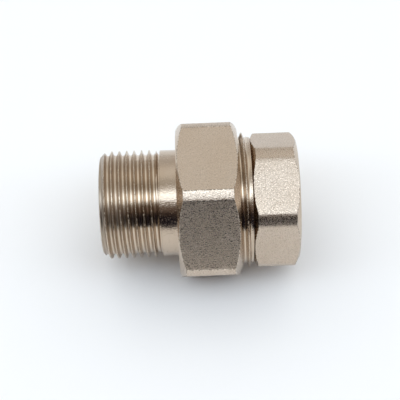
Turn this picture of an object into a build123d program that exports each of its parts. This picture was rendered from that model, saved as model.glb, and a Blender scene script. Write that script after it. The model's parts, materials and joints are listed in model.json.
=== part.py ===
from build123d import *
import os
from math import radians, tan

# Straight pipe union in nickel-plated brass: a male tail and a female body, drawn
# together on a flat gasket by a hexagon nut. X is the axis, with the tail at -X and
# the body at +X, and Z is up. The union lies on a flat of its nut, and the origin is
# on the axis at half the overall length. A thread zone is a plain wall: at the major
# diameter on an outside thread, at the minor diameter in the female socket.

# Pipe thread G 1, outside on the tail and inside the body
pipe_major = 33.249
thread_pitch = 2.309
thread_depth = 1.479
flank_angle = 27.5

# Union thread G 1 1/4 between body and nut: one standard size up, same pitch and depth
union_step = 8.661
engaged_turns = 4

# Male tail
tail_thread_length = 18.3
tail_lead = 1.7
tail_relief_width = 0.5
tail_wall = 2.4            # under the thread's root
collar_drop = 0.275        # collar below the thread's crests, in radius
collar_show = 5.0          # collar that shows between thread and nut
flange_thickness = 4.0
flange_edge = 0.4
bore_edge = 0.6

# Driving lugs in the tail's bore, for an inside wrench
lug_width = 3.5
lug_height = 2.0
lug_length = 8.0
lug_set_back = 2.5

# Flat gasket
gasket_thickness = 2.0
gasket_width = 4.7

# Union nut
nut_wall = 1.895           # from the thread bore to a flat, for 46 mm across flats
nut_corner_rise = 2.7      # turned corners above the flats, in radius
nut_face_drop = 0.7        # edge of an end face below the flats, in radius
shoulder_thickness = 3.5
shoulder_edge = 0.5
nut_mouth_edge = 0.5

# Female body
spare_thread = 3.8         # union thread that shows between nut and hexagon
spigot_lead = 1.5
spigot_relief_width = 0.6
body_wall = 2.375          # from the socket thread's major radius to a flat, for 38 mm
body_corner_rise = 1.85
body_face_drop = 0.55
body_hex_length = 14.1
body_turn = 22.25
socket_depth = 16.0
socket_step = 1.15         # bore below the socket's wall, in radius
socket_mouth_edge = 0.375  # mouth over the thread's major radius

# Both hexagons
chamfer_angle = 30.0

# Radial clearances
pass_clearance = 0.35      # tail thread through the nut's shoulder, as it is put together
flange_clearance = 0.3     # flange and gasket through the nut's thread
thread_clearance = 0.15    # spigot in the nut's thread bore

# Radii that follow from the threads
pipe_crest = pipe_major / 2
pipe_root = pipe_crest - thread_depth
union_crest = pipe_crest + union_step / 2
union_root = union_crest - thread_depth
collar_radius = pipe_crest - collar_drop
tail_bore_radius = pipe_root - tail_wall
flange_radius = union_root - flange_clearance
nut_bore_radius = union_crest + thread_clearance
body_bore_radius = pipe_root - socket_step
flank_width = thread_depth * tan(radians(flank_angle))

# Places along the axis, from the tail's end to the body's end
engaged_length = engaged_turns * thread_pitch
tail_length = tail_thread_length + collar_show + shoulder_thickness + flange_thickness
body_length = engaged_length + spare_thread + body_hex_length
tail_end = -(tail_length + gasket_thickness + body_length) / 2
collar_start = tail_end + tail_thread_length
nut_start = collar_start + collar_show
flange_back = nut_start + shoulder_thickness
flange_face = flange_back + flange_thickness
spigot_end = flange_face + gasket_thickness
nut_end = spigot_end + engaged_length
hex_start = nut_end + spare_thread
body_end = hex_start + body_hex_length


# Solid of revolution about X, from an outline of (x, radius) points
def turned(*outline):
    return revolve(make_face(Polyline(*outline, close=True)), Axis.X)


# Hexagon bar along X with its corners turned down and both ends chamfered
def hexagon(start, end, flat_radius, corner_rise, face_drop):
    bar = Pos(start, 0, 0) * extrude(Plane.YZ * RegularPolygon(flat_radius, 6, major_radius=False),
                                     end - start)
    corner, face = flat_radius + corner_rise, flat_radius - face_drop
    run = (corner - face) * tan(radians(chamfer_angle))
    envelope = turned((start, 0), (start, face), (start + run, corner),
                      (end - run, corner), (end, face), (end, 0))
    return bar & envelope


# Male tail: thread zone, run-out groove, plain collar and flange, bored through
def male_tail():
    groove = collar_start - tail_relief_width
    outside = turned((tail_end, 0), (tail_end, pipe_crest - tail_lead),
                     (tail_end + tail_lead, pipe_crest), (groove - flank_width, pipe_crest),
                     (groove, pipe_root), (collar_start, pipe_root),
                     (collar_start, collar_radius), (flange_back, collar_radius),
                     (flange_back, flange_radius - flange_edge),
                     (flange_back + flange_edge, flange_radius),
                     (flange_face - flange_edge, flange_radius),
                     (flange_face, flange_radius - flange_edge), (flange_face, 0))
    bore = tail_bore_radius
    inside = turned((tail_end, 0), (tail_end, bore + bore_edge), (tail_end + bore_edge, bore),
                    (flange_face - bore_edge, bore), (flange_face, bore + bore_edge),
                    (flange_face, 0))
    return outside - inside + driving_lugs()


# Two ribs across from each other in the bore, rooted in its wall
def driving_lugs():
    root = tail_bore_radius + tail_wall / 2
    tip = tail_bore_radius - lug_height
    middle = flange_face - lug_set_back - lug_length / 2
    rib = Box(lug_length, lug_width, root - tip)
    return [Rot(X=turn) * Pos(middle, 0, (root + tip) / 2) * rib for turn in (0, 180)]


# Flat ring between the flange and the spigot
def flat_gasket():
    ring = Circle(flange_radius) - Circle(flange_radius - gasket_width)
    return Pos(flange_face, 0, 0) * extrude(Plane.YZ * ring, gasket_thickness)


# Hexagon nut: a shoulder behind the flange, and a bore for the spigot's thread
def union_nut():
    shoulder = pipe_crest + pass_clearance
    bore = nut_bore_radius
    inside = turned((nut_start, 0), (nut_start, shoulder + shoulder_edge),
                    (nut_start + shoulder_edge, shoulder), (flange_back, shoulder),
                    (flange_back, bore), (nut_end - nut_mouth_edge, bore),
                    (nut_end, bore + nut_mouth_edge), (nut_end, 0))
    return hexagon(nut_start, nut_end, bore + nut_wall, nut_corner_rise, nut_face_drop) - inside


# Female body: threaded spigot, relief groove, hexagon and threaded socket
def female_body():
    groove = hex_start - spigot_relief_width
    spigot = turned((spigot_end, 0), (spigot_end, union_crest - spigot_lead),
                    (spigot_end + spigot_lead, union_crest),
                    (groove - flank_width, union_crest), (groove, union_root),
                    (hex_start, union_root), (hex_start, 0))
    head = Rot(X=body_turn) * hexagon(hex_start, body_end, pipe_crest + body_wall,
                                      body_corner_rise, body_face_drop)
    bore, socket, mouth = body_bore_radius, pipe_root, pipe_crest + socket_mouth_edge
    socket_bottom = body_end - socket_depth
    inside = turned((spigot_end, 0), (spigot_end, bore + bore_edge), (spigot_end + bore_edge, bore),
                    (socket_bottom, bore), (socket_bottom, socket),
                    (body_end - (mouth - socket), socket), (body_end, mouth), (body_end, 0))
    return spigot + head - inside


pieces = {
    "male_tail": male_tail(),
    "flat_gasket": flat_gasket(),
    "union_nut": union_nut(),
    "female_body": female_body(),
}

os.makedirs("parts", exist_ok=True)
for name, piece in pieces.items():
    export_step(piece, f"parts/{name}.step")
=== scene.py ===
import json
import math

import bmesh
import bpy
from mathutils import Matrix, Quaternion, Vector


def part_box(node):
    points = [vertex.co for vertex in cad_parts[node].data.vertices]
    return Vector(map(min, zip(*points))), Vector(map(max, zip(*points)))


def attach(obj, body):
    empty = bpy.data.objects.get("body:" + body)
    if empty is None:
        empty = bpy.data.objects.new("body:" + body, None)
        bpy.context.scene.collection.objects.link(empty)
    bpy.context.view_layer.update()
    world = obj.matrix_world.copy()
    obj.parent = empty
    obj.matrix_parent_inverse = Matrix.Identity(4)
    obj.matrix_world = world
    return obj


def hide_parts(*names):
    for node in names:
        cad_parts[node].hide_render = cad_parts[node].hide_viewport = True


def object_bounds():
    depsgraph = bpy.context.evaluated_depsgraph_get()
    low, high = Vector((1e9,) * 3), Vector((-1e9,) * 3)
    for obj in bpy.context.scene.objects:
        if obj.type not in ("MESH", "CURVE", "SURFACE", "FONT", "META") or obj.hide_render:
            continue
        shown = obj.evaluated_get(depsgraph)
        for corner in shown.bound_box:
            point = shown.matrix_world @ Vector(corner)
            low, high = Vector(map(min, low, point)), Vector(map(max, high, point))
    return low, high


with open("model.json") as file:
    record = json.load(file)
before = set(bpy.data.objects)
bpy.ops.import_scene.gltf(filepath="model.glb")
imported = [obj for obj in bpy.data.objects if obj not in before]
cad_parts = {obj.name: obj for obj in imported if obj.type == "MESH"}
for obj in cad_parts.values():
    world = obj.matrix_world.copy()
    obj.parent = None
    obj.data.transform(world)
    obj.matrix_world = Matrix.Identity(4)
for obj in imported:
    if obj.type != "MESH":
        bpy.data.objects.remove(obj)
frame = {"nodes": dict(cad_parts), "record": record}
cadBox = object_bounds()
print("frame loaded:", ", ".join(sorted(frame["nodes"])))

mm = 0.001
mountSizes = {mount["name"]: mount["dims"] for mount in frame["record"]["mounts"]}
tailLow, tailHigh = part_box("male_tail")
nutLow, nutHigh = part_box("union_nut")
bodyLow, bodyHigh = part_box("female_body")
gasketLow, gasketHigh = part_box("flat_gasket")

# both pipe threads are G 1, and the union thread between nut and body is the next size up
pipeCrest = mountSizes["male_thread"]["r_mm"] * mm
pipeRoot = mountSizes["female_thread"]["r_mm"] * mm
threadDepth = pipeCrest - pipeRoot
unionStep = 8.661 * mm         # in diameter
unionCrest = pipeCrest + unionStep / 2
unionRoot = unionCrest - threadDepth
threadPitch = 2.309 * mm
flankAngle = math.radians(27.5)
flankSlope = math.tan(flankAngle)


class Value:
    # one output in a node tree: sums and products of values add their Math nodes
    def __init__(self, sheet, socket):
        self.sheet, self.socket = sheet, socket

    def calc(self, operation, *values):
        return self.sheet.node("ShaderNodeMath", {"operation": operation}, dict(enumerate(values)))

    def __add__(self, other):
        return self.calc("ADD", self, other)

    def __radd__(self, other):
        return self.calc("ADD", other, self)

    def __sub__(self, other):
        return self.calc("SUBTRACT", self, other)

    def __rsub__(self, other):
        return self.calc("SUBTRACT", other, self)

    def __mul__(self, other):
        return self.calc("MULTIPLY", self, other)

    def __rmul__(self, other):
        return self.calc("MULTIPLY", other, self)

    def __truediv__(self, other):
        return self.calc("DIVIDE", self, other)

    def __pow__(self, other):
        return self.calc("POWER", self, other)

    def __neg__(self):
        return self.calc("MULTIPLY", self, -1.0)

    # 0 below low, 1 above high, smooth between
    def between(self, low, high):
        return self.sheet.node("ShaderNodeMapRange", {"interpolation_type": "SMOOTHSTEP"},
                               {"Value": self, "From Min": low, "From Max": high})


class NodeSheet:
    # the nodes of one material or world
    def __init__(self, tree):
        self.tree = tree
        tree.nodes.clear()

    def node(self, kind, settings=None, sockets=None, output=0):
        made = self.tree.nodes.new(kind)
        for name, setting in (settings or {}).items():
            if name == "stops":
                self.setStops(made.color_ramp, setting)
            else:
                setattr(made, name, setting)
        for place, value in (sockets or {}).items():
            if isinstance(value, Value):
                self.tree.links.new(value.socket, made.inputs[place])
            else:
                made.inputs[place].default_value = value
        return Value(self, made.outputs[output]) if len(made.outputs) else None

    def setStops(self, ramp, stops):
        while len(ramp.elements) < len(stops):
            ramp.elements.new(0.5)
        for element, (place, colour) in zip(ramp.elements, stops):
            element.position = place
            element.color = (*colour, 1.0)

    def mixColours(self, factor, first, second):
        return self.node("ShaderNodeMix", {"data_type": "RGBA"},
                         {"Factor": factor, 6: colourValue(first), 7: colourValue(second)}, output=2)

    def noise(self, place, scale, detail, roughness=0.5):
        return self.node("ShaderNodeTexNoise", {"noise_dimensions": "3D"},
                         {"Vector": place, "Scale": scale, "Detail": detail, "Roughness": roughness})

    def vector(self, x, y, z):
        return self.node("ShaderNodeCombineXYZ", {}, {"X": x, "Y": y, "Z": z})

    def split(self, vector):
        return [self.node("ShaderNodeSeparateXYZ", {}, {"Vector": vector}, output=i) for i in range(3)]


def colourValue(colour):
    return colour if isinstance(colour, Value) else (*colour, 1.0)


def newSurface(name):
    material = bpy.data.materials.new(name)
    material.use_nodes = True
    return material, NodeSheet(material.node_tree)


# place on the piece in millimetres
def placeOnPiece(sheet):
    place = sheet.node("ShaderNodeTexCoord", {}, {}, output=3)
    return sheet.node("ShaderNodeVectorMath", {"operation": "SCALE"}, {"Vector": place, "Scale": 1 / mm})


# x, and the distance from the union's axis
def alongAndAcross(sheet, place):
    x, y, z = sheet.split(place)
    return x, (y * y + z * z) ** 0.5


nickelSettings = {
    "colour": (0.55, 0.45, 0.355),
    "cloudColour": (0.53, 0.425, 0.325),
    "blastColour": (0.60, 0.50, 0.41),
    "blastCloudColour": (0.58, 0.475, 0.38),
    # crest and root colour is a painted highlight, flank colour a painted shade
    "crestAndRootHighlightColour": (0.61, 0.51, 0.405),
    "flankShadeColour": (0.52, 0.425, 0.335),
    # lead colour is painted shade on the lead's chamfer
    "leadChamferShadeColour": (0.42, 0.35, 0.28),
    "nutBlastRoughness": 0.24,
    "nutBlastHeight": 0.045 * mm,
    "bodyBlastRoughness": 0.33,
    "bodyBlastHeight": 0.065 * mm,
    "blastScale": 3.0,         # grains per millimetre
    "dustScale": 3.9,
    "blastSpread": 0.9,        # how far the roughness differs between grains
    "pitColour": (0.46, 0.38, 0.30),
    # edge colours are painted glints and painted dark shade along the bevelled edges
    "edgeGlintColour": (0.85, 0.76, 0.65),
    "edgeShadeColour": (0.16, 0.12, 0.09),
    "edgeRoughness": 0.35,
    "edgeHeight": 0.10 * mm,
    "turnRoughness": 0.18,
    "turnHeight": 0.0012 * mm,
    "ringScale": 6.0,          # lathe rings per millimetre
    "speckScale": 3.0,
    "speckSpread": 0.35,
    "speckHeight": 0.035 * mm,
    "threadRoughness": 0.15,
    "threadSpread": 0.1,
    "threadDull": 0.20,        # added roughness at the dull end
    "threadWear": 0.45,        # share of the burr's colour where a crest is worn
    "burrColour": (0.20, 0.15, 0.11),
    "burrScale": 2.6,
    "burrHeight": 0.13 * mm,
    "cutHeight": 0.010 * mm,
}


def finishSurface(sheet, material, colour, roughness, heights, metallic=1.0):
    normal = None
    for height, distance in heights:
        sockets = {"Height": height, "Strength": 1.0, "Distance": distance}
        if normal is not None:
            sockets["Normal"] = normal
        normal = sheet.node("ShaderNodeBump", {}, sockets)
    shader = sheet.node("ShaderNodeBsdfPrincipled", {}, {
        "Base Color": colourValue(colour), "Roughness": roughness, "Metallic": metallic,
        **({"Normal": normal} if normal is not None else {})})
    sheet.node("ShaderNodeOutputMaterial", {}, {"Surface": shader})
    return material


# forged flats and corners, blasted to a fine grain before plating
def blastedNickel(name, roughness, height):
    s = nickelSettings
    material, sheet = newSurface(name)
    place = placeOnPiece(sheet)
    grain = sheet.noise(place, s["blastScale"], 1.0)
    dust = sheet.noise(place, s["dustScale"], 0.0)
    cloud = sheet.noise(place, 0.12, 2.0)
    clean = sheet.mixColours(cloud.between(0.3, 0.7), s["blastColour"], s["blastCloudColour"])
    tint = sheet.mixColours(grain.between(0.52, 0.30), clean, s["pitColour"])
    spread = (dust - 0.5) * s["blastSpread"]
    return finishSurface(sheet, material, tint, roughness + spread, [(grain, height)])


# edges of the flats, with painted glints in places and painted dark shade in others
def glintAndShadeEdge():
    s = nickelSettings
    material, sheet = newSurface("glintAndShadeEdgeNickel")
    grain = sheet.noise(placeOnPiece(sheet), s["burrScale"], 1.0)
    # painted shade specks and painted glints, mixed by the grain
    tint = sheet.mixColours(grain.between(0.40, 0.60), s["edgeShadeColour"], s["edgeGlintColour"])
    return finishSurface(sheet, material, tint, s["edgeRoughness"], [(grain, s["edgeHeight"])])


# faces cut on the lathe, with faint rings round the axis
def turnedNickel():
    s = nickelSettings
    material, sheet = newSurface("turnedNickel")
    place = placeOnPiece(sheet)
    x, radius = alongAndAcross(sheet, place)
    rings = sheet.noise(sheet.vector(x * s["ringScale"], radius * s["ringScale"], 0.0), 1.0, 2.0)
    speck = sheet.noise(place, s["speckScale"], 0.0)
    cloud = sheet.noise(place, 0.15, 2.0)
    tint = sheet.mixColours(cloud.between(0.3, 0.7), s["colour"], s["cloudColour"])
    roughness = s["turnRoughness"] + (speck - 0.5) * s["speckSpread"]
    return finishSurface(sheet, material, tint, roughness,
                         [(rings, s["turnHeight"]), (speck, s["speckHeight"])])


# thread with painted highlight on crest and root and painted shade on the flanks, with burrs along the
# crest and at the lead's edge, and duller over the first turns of a free end; the lead's chamfer is
# painted darker as painted shade
def threadNickel(name, rootRadius, leadEnd, dullFrom, dullTo):
    s = nickelSettings
    material, sheet = newSurface(name)
    place = placeOnPiece(sheet)
    x, radius = alongAndAcross(sheet, place)
    low, high = rootRadius / mm, (rootRadius + threadDepth) / mm
    flank = radius.between(low + 0.05, low + 0.35) * radius.between(high - 0.05, high - 0.35)
    leadEdge = x.between(leadEnd + 0.3, leadEnd) * x.between(leadEnd - 0.8, leadEnd - 0.4)
    crest = radius.between(high - 0.30, high - 0.06) + leadEdge * radius.between(high - 0.9, high - 0.6)
    burr = sheet.noise(place, s["burrScale"], 2.0, 0.6)
    chips = burr.between(0.54, 0.64) * crest
    # painted highlight on crest and root, painted shade on the flanks
    threadHighlightAndShade = sheet.mixColours(flank, s["crestAndRootHighlightColour"], s["flankShadeColour"])
    # the lead's chamfer is painted darker as painted shade
    paintedLightThreadTint = sheet.mixColours(x.between(leadEnd, leadEnd - 0.6), threadHighlightAndShade, s["leadChamferShadeColour"])
    worn = (1.0 - burr.between(0.36, 0.50)) * crest * s["threadWear"]
    tint = sheet.mixColours(worn, paintedLightThreadTint, s["burrColour"])
    dull = x.between(dullFrom, dullTo) * (1.0 - crest) * s["threadDull"]
    roughness = s["threadRoughness"] + (burr - 0.5) * s["threadSpread"] + dull
    return finishSurface(sheet, material, tint, roughness,
                         [(chips, s["burrHeight"]), (burr, s["cutHeight"])])


rubberSettings = {
    "colour": (0.030, 0.030, 0.032),
    "paleColour": (0.055, 0.055, 0.055),
    "roughness": 0.62,
    "spread": 0.15,
    "grainScale": 4.0,
    "grainHeight": 0.01 * mm,
}


def gasketRubber():
    s = rubberSettings
    material, sheet = newSurface("gasketRubber")
    grain = sheet.noise(placeOnPiece(sheet), s["grainScale"], 2.0)
    tint = sheet.mixColours(grain, s["colour"], s["paleColour"])
    return finishSurface(sheet, material, tint, s["roughness"] + grain * s["spread"],
                         [(grain, s["grainHeight"])], 0.0)


pipeLead, unionLead = 1.7 * mm, 1.5 * mm
nutBlasted = blastedNickel("nutBlastedNickel", nickelSettings["nutBlastRoughness"],
                           nickelSettings["nutBlastHeight"])
bodyBlasted = blastedNickel("bodyBlastedNickel", nickelSettings["bodyBlastRoughness"],
                            nickelSettings["bodyBlastHeight"])
turned = turnedNickel()
# bevelled edges with painted glints and painted shade
edges = glintAndShadeEdge()
pipeThread = threadNickel("pipeThreadNickel", pipeRoot, (tailLow.x + pipeLead) / mm, -16.0, -27.0)
unionThread = threadNickel("unionThreadNickel", unionRoot, (bodyLow.x + unionLead) / mm, 12.0, 4.0)
rubber = gasketRubber()
print("materials made")


threadSettings = {
    "crestFlat": 0.11 * mm,       # half the width of the narrow band left on a crest
    "crestRounding": 0.06 * mm,
    "rootRounding": 0.62 * mm,
    "crestSteps": 3,
    "rootSteps": 7,
}


# One period of the thread, as (place from the crest, height above the root).
# The cutter leaves narrow crests and well rounded roots.
def threadForm():
    s = threadSettings
    sweep = math.radians(90) - flankAngle
    half = [(0.0, threadDepth)]
    for i in range(s["crestSteps"] + 1):
        turn = sweep * i / s["crestSteps"]
        half.append((s["crestFlat"] + s["crestRounding"] * math.sin(turn),
                     threadDepth - s["crestRounding"] * (1 - math.cos(turn))))
    for i in range(s["rootSteps"], -1, -1):
        turn = sweep * i / s["rootSteps"]
        half.append((threadPitch / 2 - s["rootRounding"] * math.sin(turn),
                     s["rootRounding"] * (1 - math.cos(turn))))
    return [(-u, h) for u, h in reversed(half[1:])] + half[:-1]


# height of a line of (x, radius) points at x
def along(points, x):
    for (x0, r0), (x1, r1) in zip(points, points[1:]):
        if x <= x1:
            return r0 + (r1 - r0) * max(0.0, (x - x0) / (x1 - x0))
    return points[-1][1]


# Columns of a right-hand thread between the ends of its limit line. An outside thread stays
# under that line, and an inside thread outside it.
def threadColumns(angles, rootRadius, limit, crestPlace, choose):
    low, high = limit[0][0], limit[-1][0]
    form = threadForm()
    first = math.floor((low - crestPlace) / threadPitch) - 2
    last = math.ceil((high - crestPlace) / threadPitch) + 1
    columns = []
    for angle in angles:
        shift = crestPlace + threadPitch * angle / math.tau
        column = [(low, limit[0][1], angle)]
        for turn in range(first, last + 1):
            for u, height in form:
                x = shift + turn * threadPitch + u
                if x <= low:
                    column.append((low, limit[0][1], angle))
                elif x >= high:
                    column.append((high, limit[-1][1], angle))
                else:
                    column.append((x, choose(rootRadius + height, along(limit, x)), angle))
        columns.append(column + [(high, limit[-1][1], angle)])
    return columns


def latheColumns(angles, outline):
    return [[(x, radius, angle) for x, radius in outline] for angle in angles]


# Outline points of a rounded corner at (x, radius), from one neighbour to the other
def rounded(before, corner, after, size, steps=3):
    a, c, b = Vector(before), Vector(corner), Vector(after)
    start, end = c + (a - c).normalized() * size, c + (b - c).normalized() * size
    points = []
    for i in range(steps + 1):
        t = i / steps
        points.append(tuple(start * (1 - t) ** 2 + c * 2 * t * (1 - t) + end * t * t))
    return points


# An outline with every inner corner rounded to the same size
def softOutline(outline, size):
    points = [outline[0]]
    for before, corner, after in zip(outline, outline[1:], outline[2:]):
        points += rounded(before, corner, after, size)
    return points + [outline[-1]]


class Shell:
    # a closed skin round the axis, made of grids that share their column angles
    def __init__(self, name, angles, materials):
        self.name, self.angles, self.materials = name, angles, materials
        self.corners, self.faces, self.kinds = [], [], []

    def add(self, columns, kindOf):
        base, rows = len(self.corners), len(columns[0])
        for column in columns:
            for x, radius, angle in column:
                self.corners.append((x, radius * math.cos(angle), radius * math.sin(angle)))
        for j in range(len(columns) - 1):
            for i in range(rows - 1):
                a, b = base + j * rows + i, base + (j + 1) * rows + i
                self.faces.append((a, b, b + 1, a + 1))
                self.kinds.append(kindOf(i) if callable(kindOf) else kindOf)

    def finish(self, body, node, sharpAngle=20, bevel=0.0):
        mesh = bpy.data.meshes.new(self.name)
        work = bmesh.new()
        made = [work.verts.new(corner) for corner in self.corners]
        for face, kind in zip(self.faces, self.kinds):
            spots = [self.corners[i] for i in face]
            if all((Vector(spots[i]) - Vector(spots[i - 1])).length < 1e-8 for i in range(4)):
                continue
            work.faces.new([made[i] for i in face]).material_index = kind
        bmesh.ops.remove_doubles(work, verts=work.verts, dist=2e-7)
        bmesh.ops.dissolve_degenerate(work, edges=work.edges, dist=1e-8)
        loose = [v for v in work.verts if not v.link_faces]
        bmesh.ops.delete(work, geom=loose, context="VERTS")
        bmesh.ops.recalc_face_normals(work, faces=work.faces)
        weight = work.edges.layers.float.new("bevel_weight_edge")
        for face in work.faces:
            face.smooth = True
        for edge in work.edges:
            if len(edge.link_faces) != 2:
                continue
            bend = math.degrees(edge.calc_face_angle(0.0))
            edge.smooth = bend < sharpAngle
            if bevel and bend > 12 and any(f.material_index == 0 for f in edge.link_faces):
                edge[weight] = 1.0
        openEdges = sum(len(edge.link_faces) != 2 for edge in work.edges)
        work.to_mesh(mesh)
        work.free()
        for material in self.materials:
            mesh.materials.append(material)
        piece = bpy.data.objects.new(self.name, mesh)
        bpy.context.scene.collection.objects.link(piece)
        if bevel:
            softener = piece.modifiers.new("softEdges", "BEVEL")
            softener.limit_method, softener.width, softener.segments = "WEIGHT", bevel, 2
            softener.harden_normals = True
            # the bevels take the last material, with painted glints and painted shade
            softener.material = len(self.materials) - 1
        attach(piece, body)
        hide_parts(node)
        print(self.name, "made with", len(mesh.polygons), "faces and", openEdges, "open edges")
        return piece


def evenAngles(count):
    return [math.tau * i / count for i in range(count + 1)]


# Column angles of a hexagon whose corners, from the first one on, are turned to a band.
# They gather at the edges between band and flat.
def hexagonAngles(flatRadius, cornerRadius, turn, bandSteps, flatSteps):
    band = math.radians(30) - math.acos(flatRadius / cornerRadius)
    half = [band * (1 - (1 - i / bandSteps) ** 1.5) for i in range(bandSteps)]
    half += [band + (math.radians(30) - band) * (i / flatSteps) ** 1.8 for i in range(flatSteps)]
    sector = half + [math.radians(60) - a for a in reversed(half[1:])]
    sector.insert(len(half), math.radians(30))
    return [turn + math.radians(60) * k + a for k in range(6) for a in sector] + [turn + math.tau]


# Columns over the hexagon: end chamfer, flat or corner, end chamfer. The edges between a flat
# and its corner bands are worn round by about the blend.
def hexagonColumns(angles, start, end, flatRadius, cornerRadius, faceRadius, turn, blend):
    slope = math.tan(math.radians(30))
    columns = []
    for angle in angles:
        fromFlat = (angle - turn) % math.radians(60) - math.radians(30)
        flat = flatRadius / math.cos(fromFlat)
        radius = min(flat, cornerRadius) - blend * math.log1p(math.exp(-abs(flat - cornerRadius) / blend))
        run = (radius - faceRadius) * slope
        columns.append([(start, faceRadius, angle), (start + run, radius, angle),
                        (end - run, radius, angle), (end, faceRadius, angle)])
    return columns


hexagonKinds = (1, 0, 1)       # turned chamfer, blasted flat, turned chamfer
threadStart = 1.2 * mm         # plain run before an inside thread's run-out

tailSettings = {
    "columns": 180,
    "lead": pipeLead,
    "threadLength": 18.3 * mm,
    "runOut": 0.5 * mm,
    "collarRadius": 16.35 * mm,
    "collarLength": 8.5 * mm,
    "boreRadius": 12.7455 * mm,
    "boreEdge": 0.6 * mm,
    "flangeEdge": 0.4 * mm,
    "softness": 0.12 * mm,
    "crestPlace": -26.76 * mm,
    "lugWidth": 3.5 * mm,
    "lugHeight": 2.0 * mm,
    "lugLength": 8.0 * mm,
    "lugSetBack": 2.5 * mm,
    "lugRooted": 0.5 * mm,     # how deep a lug goes into the bore's wall
    "lugEdge": 0.35 * mm,
}


# Male tail: pipe thread, run-out groove, collar and flange, bored through
def makeTail():
    s = tailSettings
    start, end = tailLow.x, tailHigh.x
    shell = Shell("tailpiece", evenAngles(s["columns"]), [bodyBlasted, turned, pipeThread])
    collarStart = start + s["threadLength"]
    flangeBack = collarStart + s["collarLength"]
    groove = collarStart - s["runOut"]
    limit = [(start, pipeCrest - s["lead"]), (start + s["lead"], pipeCrest),
             (groove - threadDepth * flankSlope, pipeCrest), (groove, pipeRoot)]
    shell.add(threadColumns(shell.angles, pipeRoot, limit, s["crestPlace"], min), 2)
    flange, edge, bore = tailHigh.z, s["flangeEdge"], s["boreRadius"]
    outline = softOutline([(groove, pipeRoot), (collarStart, pipeRoot), (collarStart, s["collarRadius"]),
                           (flangeBack, s["collarRadius"]), (flangeBack, flange - edge),
                           (flangeBack + edge, flange), (end - edge, flange), (end, flange - edge),
                           (end, bore + s["boreEdge"]), (end - s["boreEdge"], bore),
                           (start + s["boreEdge"], bore), (start, bore + s["boreEdge"]),
                           (start, pipeCrest - s["lead"])], s["softness"])
    shell.add(latheColumns(shell.angles, outline), 1)
    shell.finish("tail", "male_tail")


# Two ribs in the tail's bore that an inside wrench turns
def makeDrivingLugs():
    s = tailSettings
    end = tailHigh.x - s["lugSetBack"]
    start = end - s["lugLength"]
    tip, root = s["boreRadius"] - s["lugHeight"], s["boreRadius"] + s["lugRooted"]
    half = s["lugWidth"] / 2
    mesh = bpy.data.meshes.new("drivingLugs")
    work = bmesh.new()
    for side in (1, -1):
        spots = [(x, y, side * z) for x in (start, end) for y in (-half, half) for z in (tip, root)]
        v = [work.verts.new(spot) for spot in spots]
        for quad in ((0, 1, 3, 2), (4, 5, 7, 6), (0, 1, 5, 4), (2, 3, 7, 6), (0, 2, 6, 4), (1, 3, 7, 5)):
            work.faces.new([v[i] for i in quad])
    bmesh.ops.recalc_face_normals(work, faces=work.faces)
    bmesh.ops.bevel(work, geom=work.edges[:], offset=s["lugEdge"], segments=3, profile=0.5,
                    affect="EDGES")
    for face in work.faces:
        face.smooth = True
    work.to_mesh(mesh)
    work.free()
    mesh.materials.append(turned)
    lugs = bpy.data.objects.new("drivingLugs", mesh)
    bpy.context.scene.collection.objects.link(lugs)
    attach(lugs, "tail")


nutSettings = {
    "bandSteps": 3,
    "flatSteps": 13,
    "faceDrop": 0.7 * mm,
    "shoulderRadius": 16.975 * mm,
    "shoulderThickness": 3.5 * mm,
    "shoulderEdge": 0.5 * mm,
    "mouthEdge": 0.5 * mm,
    "clearance": 0.15 * mm,
    "softness": 0.12 * mm,
    "cornerBlend": 0.03 * mm,
    "edgeBevel": 0.10 * mm,
}

bodySettings = {
    "bandSteps": 4,
    "flatSteps": 12,
    "turn": math.radians(22.25),
    "flatRadius": 19.0 * mm,
    "cornerRadius": 20.85 * mm,
    "faceDrop": 0.55 * mm,
    "hexLength": 14.1 * mm,
    "spigotLead": unionLead,
    "runOut": 0.6 * mm,
    "boreRadius": 13.9955 * mm,
    "boreEdge": 0.6 * mm,
    "socketDepth": 16.0 * mm,
    "mouthEdge": 0.375 * mm,
    "crestPlace": 13.26 * mm,
    "socketCrestPlace": 20.0 * mm,
    "softness": 0.12 * mm,
    "cornerBlend": 0.16 * mm,
    "edgeBevel": 0.10 * mm,
}


# Union nut: hexagon with a shoulder at the tail's end and a threaded bore
def makeNut():
    s = nutSettings
    start, end, flat, corner = nutLow.x, nutHigh.x, nutHigh.z, nutHigh.y
    angles = hexagonAngles(flat, corner, 0.0, s["bandSteps"], s["flatSteps"])
    shell = Shell("unionNut", angles, [nutBlasted, turned, unionThread, edges])
    face = flat - s["faceDrop"]
    shell.add(hexagonColumns(angles, start, end, flat, corner, face, 0.0, s["cornerBlend"]),
              lambda i: hexagonKinds[i])
    root = unionRoot + s["clearance"]
    mouth = root + threadDepth + s["mouthEdge"]
    flangeBack = start + s["shoulderThickness"]
    threadBack = flangeBack + threadStart
    limit = [(flangeBack, root + threadDepth), (threadBack, root + threadDepth),
             (threadBack + threadDepth * flankSlope, root),
             (end - (mouth - root), root), (end, mouth)]
    shell.add(threadColumns(angles, root, limit, bodySettings["crestPlace"], max), 2)
    shoulder = s["shoulderRadius"]
    outline = softOutline([(flangeBack, root + threadDepth), (flangeBack, shoulder),
                           (start + s["shoulderEdge"], shoulder), (start, shoulder + s["shoulderEdge"]),
                           (start, face)], s["softness"])
    shell.add(latheColumns(angles, outline), 1)
    shell.add(latheColumns(angles, [(end, face), (end, mouth)]), 1)
    shell.finish("nut", "union_nut", bevel=s["edgeBevel"])


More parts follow.
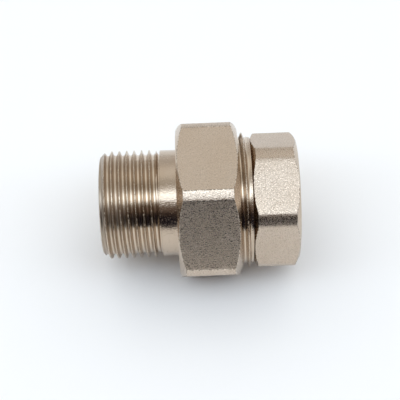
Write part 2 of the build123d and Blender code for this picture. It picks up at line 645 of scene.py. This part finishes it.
# Female body: threaded spigot, relief groove, hexagon, and a threaded socket
def makeBody():
    s = bodySettings
    start, end, turn = bodyLow.x, bodyHigh.x, s["turn"]
    angles = hexagonAngles(s["flatRadius"], s["cornerRadius"], turn, s["bandSteps"], s["flatSteps"])
    shell = Shell("femaleBody", angles, [bodyBlasted, turned, unionThread, pipeThread, edges])
    hexStart = end - s["hexLength"]
    groove = hexStart - s["runOut"]
    face = s["flatRadius"] - s["faceDrop"]
    limit = [(start, unionCrest - s["spigotLead"]), (start + s["spigotLead"], unionCrest),
             (groove - threadDepth * flankSlope, unionCrest), (groove, unionRoot)]
    # the spigot's lead runs down to its end face
    shell.add(threadColumns(angles, unionRoot, limit, s["crestPlace"], min), 2)
    shell.add(latheColumns(angles, [(groove, unionRoot), (hexStart, unionRoot), (hexStart, face)]), 1)
    shell.add(hexagonColumns(angles, hexStart, end, s["flatRadius"], s["cornerRadius"], face, turn,
                             s["cornerBlend"]), lambda i: hexagonKinds[i])
    mouth, bore = pipeCrest + s["mouthEdge"], s["boreRadius"]
    socketBottom = end - s["socketDepth"]
    threadBack = socketBottom + threadStart
    limit = [(socketBottom, pipeCrest), (threadBack, pipeCrest),
             (threadBack + threadDepth * flankSlope, pipeRoot),
             (end - (mouth - pipeRoot), pipeRoot), (end, mouth)]
    shell.add(threadColumns(angles, pipeRoot, limit, s["socketCrestPlace"], max), 3)
    shell.add(latheColumns(angles, [(end, mouth), (end, face)]), 1)
    outline = softOutline([(start, unionCrest - s["spigotLead"]), (start, bore + s["boreEdge"]),
                           (start + s["boreEdge"], bore), (socketBottom, bore),
                           (socketBottom, pipeCrest)], s["softness"])
    shell.add(latheColumns(angles, outline), 1)
    shell.finish("body", "female_body", bevel=s["edgeBevel"])


gasketSettings = {"columns": 120, "holeRadius": 14.476 * mm, "softness": 0.35 * mm}


# Flat ring with soft edges between the flange and the spigot
def makeGasket():
    s = gasketSettings
    start, end, rim, hole = gasketLow.x, gasketHigh.x, gasketHigh.z, s["holeRadius"]
    middle = (start + end) / 2
    shell = Shell("gasketRing", evenAngles(s["columns"]), [rubber])
    outline = softOutline([(middle, rim), (end, rim), (end, hole), (start, hole), (start, rim),
                           (middle, rim)], s["softness"])
    shell.add(latheColumns(shell.angles, outline), 0)
    shell.finish("seal", "flat_gasket")


makeTail()
makeDrivingLugs()
makeNut()
makeBody()
makeGasket()

studioSettings = {
    "floorSize": 3.0,
    "floorColour": (0.90, 0.90, 0.90),
    "floorRoughness": 0.7,
    # colour of the light from each height, from the front horizon over the top to the back
    "vault": [(0.0, (0.010, 0.008, 0.015)), (26.0, (0.010, 0.008, 0.014)), (33.0, (0.05, 0.035, 0.03)),
              (39.0, (0.14, 0.10, 0.08)), (48.0, (0.18, 0.14, 0.12)), (53.0, (0.27, 0.24, 0.22)),
              (58.0, (0.66, 0.67, 0.70)), (63.0, (1.8, 2.0, 2.25)), (67.0, (2.4, 2.7, 3.0)),
              (75.0, (2.4, 2.7, 3.0)), (80.0, (1.8, 2.0, 2.2)), (86.0, (0.92, 0.96, 1.0)),
              (92.0, (0.63, 0.62, 0.59)), (100.0, (0.54, 0.53, 0.50)), (109.0, (0.70, 0.69, 0.66)),
              (118.0, (0.90, 0.89, 0.85)), (135.0, (0.89, 0.88, 0.85)), (155.0, (0.62, 0.60, 0.57)),
              (168.0, (0.70, 0.70, 0.69)), (180.0, (0.85, 0.85, 0.86))],
    "fill": 0.70,              # light from overhead, left out of the metal's reflections
    "fillAngle": math.radians(100),
}


# Soft studio light: a dark front, a wide soft box over the camera and a pale room behind
def makeStudio():
    s = studioSettings
    mesh = bpy.data.meshes.new("floor")
    half, level = s["floorSize"] / 2, cadBox[0].z
    corners = [(-half, -half, level), (half, -half, level), (half, half, level), (-half, half, level)]
    mesh.from_pydata(corners, [], [(0, 1, 2, 3)])
    material, sheet = newSurface("paleFloor")
    mesh.materials.append(finishSurface(sheet, material, s["floorColour"], s["floorRoughness"], [], 0.0))
    floor = bpy.data.objects.new("floor", mesh)
    bpy.context.scene.collection.objects.link(floor)

    world = bpy.data.worlds.new("studio")
    world.use_nodes = True
    bpy.context.scene.world = world
    sheet = NodeSheet(world.node_tree)
    direction = sheet.node("ShaderNodeTexCoord", {}, {}, output=0)
    y, z = sheet.split(direction)[1:]
    height = z.calc("ARCTAN2", z, -y) / math.pi
    stops = [(angle / 180, colour) for angle, colour in s["vault"]]
    vault = sheet.node("ShaderNodeValToRGB", {"stops": stops}, {0: height})
    background = sheet.node("ShaderNodeBackground", {}, {"Color": vault, "Strength": 1.0})
    sheet.node("ShaderNodeOutputWorld", {}, {"Surface": background})

    lamp = bpy.data.lights.new("fill", "SUN")
    lamp.energy, lamp.angle = s["fill"], s["fillAngle"]
    fill = bpy.data.objects.new("fill", lamp)
    fill.visible_glossy = False
    bpy.context.scene.collection.objects.link(fill)


cameraSettings = {
    "elevation": 56.0,
    "roll": -2.2,
    "distance": 370 * mm,
    "lens": 107.4,
    "sensor": 36.0,
    "shiftRight": 0.15 * mm,   # the union's middle stands this far left of the picture's
    "shiftUp": 0.53 * mm,
}


def makeCamera():
    s = cameraSettings
    lift = math.radians(s["elevation"])
    back = Vector((0.0, -math.cos(lift), math.sin(lift)))
    turn = (-back).to_track_quat("-Z", "Y") @ Quaternion((0, 0, 1), math.radians(s["roll"]))
    right, up = turn @ Vector((1, 0, 0)), turn @ Vector((0, 1, 0))
    data = bpy.data.cameras.new("camera")
    data.lens, data.sensor_width, data.clip_start = s["lens"], s["sensor"], 0.01
    camera = bpy.data.objects.new("camera", data)
    camera.rotation_mode = "QUATERNION"
    camera.rotation_quaternion = turn
    camera.location = back * s["distance"] + right * s["shiftRight"] + up * s["shiftUp"]
    bpy.context.scene.collection.objects.link(camera)
    bpy.context.scene.camera = camera


makeStudio()
makeCamera()
bpy.context.scene.view_settings.view_transform = "Standard"
print("studio and camera set")
